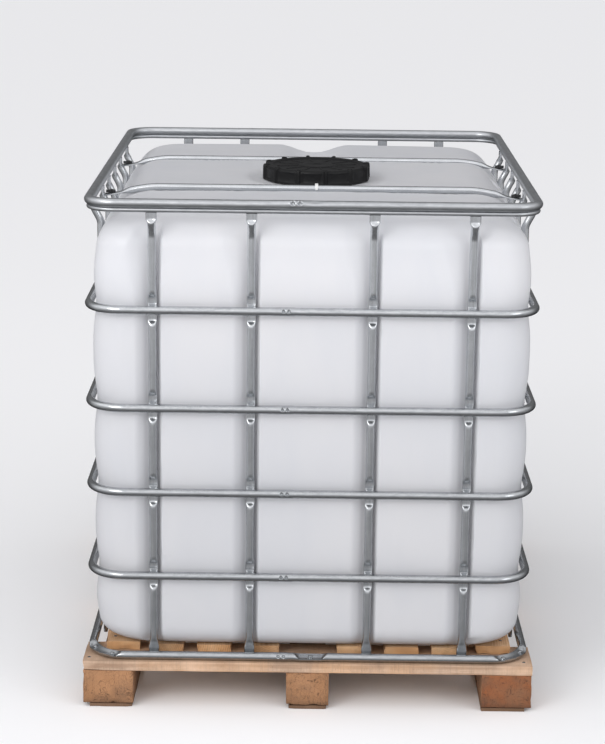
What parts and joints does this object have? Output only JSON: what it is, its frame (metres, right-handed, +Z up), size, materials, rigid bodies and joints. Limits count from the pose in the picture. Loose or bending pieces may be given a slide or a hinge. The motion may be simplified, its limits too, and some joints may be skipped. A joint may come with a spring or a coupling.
{
  "type": "intermediate bulk container",
  "caption": "Caged plastic bulk container on a wooden pallet, with a screw lid on top and a lever valve and capped outlet in a recess at one end.",
  "frame": {"origin": "on the floor, under the middle of the pallet", "axes": "+Z up; +Y along the 1200 mm side, towards the outlet end; +X along the 1000 mm end"},
  "size_m": [1, 1.2, 1.1436],
  "materials": {
    "galvanised_tube": "hot-dip galvanised, drawn and slightly brushed",
    "pallet_board": "planed softwood, raw",
    "pallet_block": "sawn softwood end grain, raw",
    "pallet_runner": "sawn softwood, raw and dark underneath",
    "bottle_plastic": "natural white blow-moulded polyethylene, satin",
    "lid_plastic": "black moulded polyethylene, satin",
    "valve_nut_plastic": "black moulded plastic, satin",
    "valve_plastic": "dark moulded plastic, satin",
    "disc_plastic": "pale moulded plastic, satin",
    "lever_plastic": "red moulded plastic, semi-gloss",
    "cap_plastic": "black moulded plastic, satin",
    "seal_rubber": "soft black rubber"
  },
  "bodies": {
    "container": {"runner_left": "pallet_runner", "runner_centre": "pallet_runner", "runner_right": "pallet_runner", "block_front_left": "pallet_block", "block_middle_left": "pallet_block", "block_rear_left": "pallet_block", "block_front_centre": "pallet_block", "block_middle_centre": "pallet_block", "block_rear_centre": "pallet_block", "block_front_right": "pallet_block", "block_middle_right": "pallet_block", "block_rear_right": "pallet_block", "cross_board_front": "pallet_board", "cross_board_middle": "pallet_board", "cross_board_rear": "pallet_board", "deck_board_1": "pallet_board", "deck_board_2": "pallet_board", "deck_board_3": "pallet_board", "deck_board_4": "pallet_board", "deck_board_5": "pallet_board", "deck_board_6": "pallet_board", "deck_board_7": "pallet_board", "deck_board_8": "pallet_board", "base_rail": "galvanised_tube", "cage_ring_1": "galvanised_tube", "cage_ring_2": "galvanised_tube", "cage_ring_3": "galvanised_tube", "cage_ring_4": "galvanised_tube", "top_rim": "galvanised_tube", "upright_front_1": "galvanised_tube", "upright_front_2": "galvanised_tube", "upright_front_3": "galvanised_tube", "upright_front_4": "galvanised_tube", "upright_rear_1": "galvanised_tube", "upright_rear_2": "galvanised_tube", "upright_rear_3": "galvanised_tube", "upright_rear_4": "galvanised_tube", "upright_left_1": "galvanised_tube", "upright_left_2": "galvanised_tube", "upright_left_3": "galvanised_tube", "upright_left_4": "galvanised_tube", "upright_left_5": "galvanised_tube", "upright_left_6": "galvanised_tube", "upright_right_1": "galvanised_tube", "upright_right_2": "galvanised_tube", "upright_right_3": "galvanised_tube", "upright_right_4": "galvanised_tube", "upright_right_5": "galvanised_tube", "upright_right_6": "galvanised_tube", "cross_bar_front": "galvanised_tube", "cross_bar_rear": "galvanised_tube", "bottle": "bottle_plastic", "union_nut": "valve_nut_plastic", "valve_body": "valve_plastic"},
    "lid_seal_carrier": {"lid_gasket": "seal_rubber"},
    "lid": {"screw_lid": "lid_plastic"},
    "valve_stem": {"valve_disc": "disc_plastic", "valve_lever": "lever_plastic"},
    "outlet_seal_carrier": {"outlet_gasket": "seal_rubber"},
    "outlet_closure": {"outlet_cap": "cap_plastic"}
  },
  "joints": [
    {"name": "lid_turn", "type": "hinge", "parent": "lid_seal_carrier", "child": "lid", "pos_m": [0.007, -0.025, 1.129], "axis": [0, 0, 1], "range_deg": [0, 540]},
    {"name": "lid_rise", "type": "slide", "parent": "container", "child": "lid_seal_carrier", "axis": [0, 0, 1], "range_m": [0, 0.012]},
    {"name": "valve_lever_turn", "type": "hinge", "parent": "container", "child": "valve_stem", "pos_m": [0, 0.505, 0.203], "axis": [0, 0, 1], "range_deg": [0, 90]},
    {"name": "outlet_cap_turn", "type": "hinge", "parent": "outlet_seal_carrier", "child": "outlet_closure", "pos_m": [0, 0.5555, 0.203], "axis": [0, 1, 0], "range_deg": [0, 900]},
    {"name": "outlet_cap_travel", "type": "slide", "parent": "container", "child": "outlet_seal_carrier", "axis": [0, 1, 0], "range_m": [0, 0.015]}
  ],
  "couplings": [
    {"joint": "lid_rise", "follows": "lid_turn", "m_per_rad": 0.001273},
    {"joint": "outlet_cap_travel", "follows": "outlet_cap_turn", "m_per_rad": 0.00095492}
  ]
}
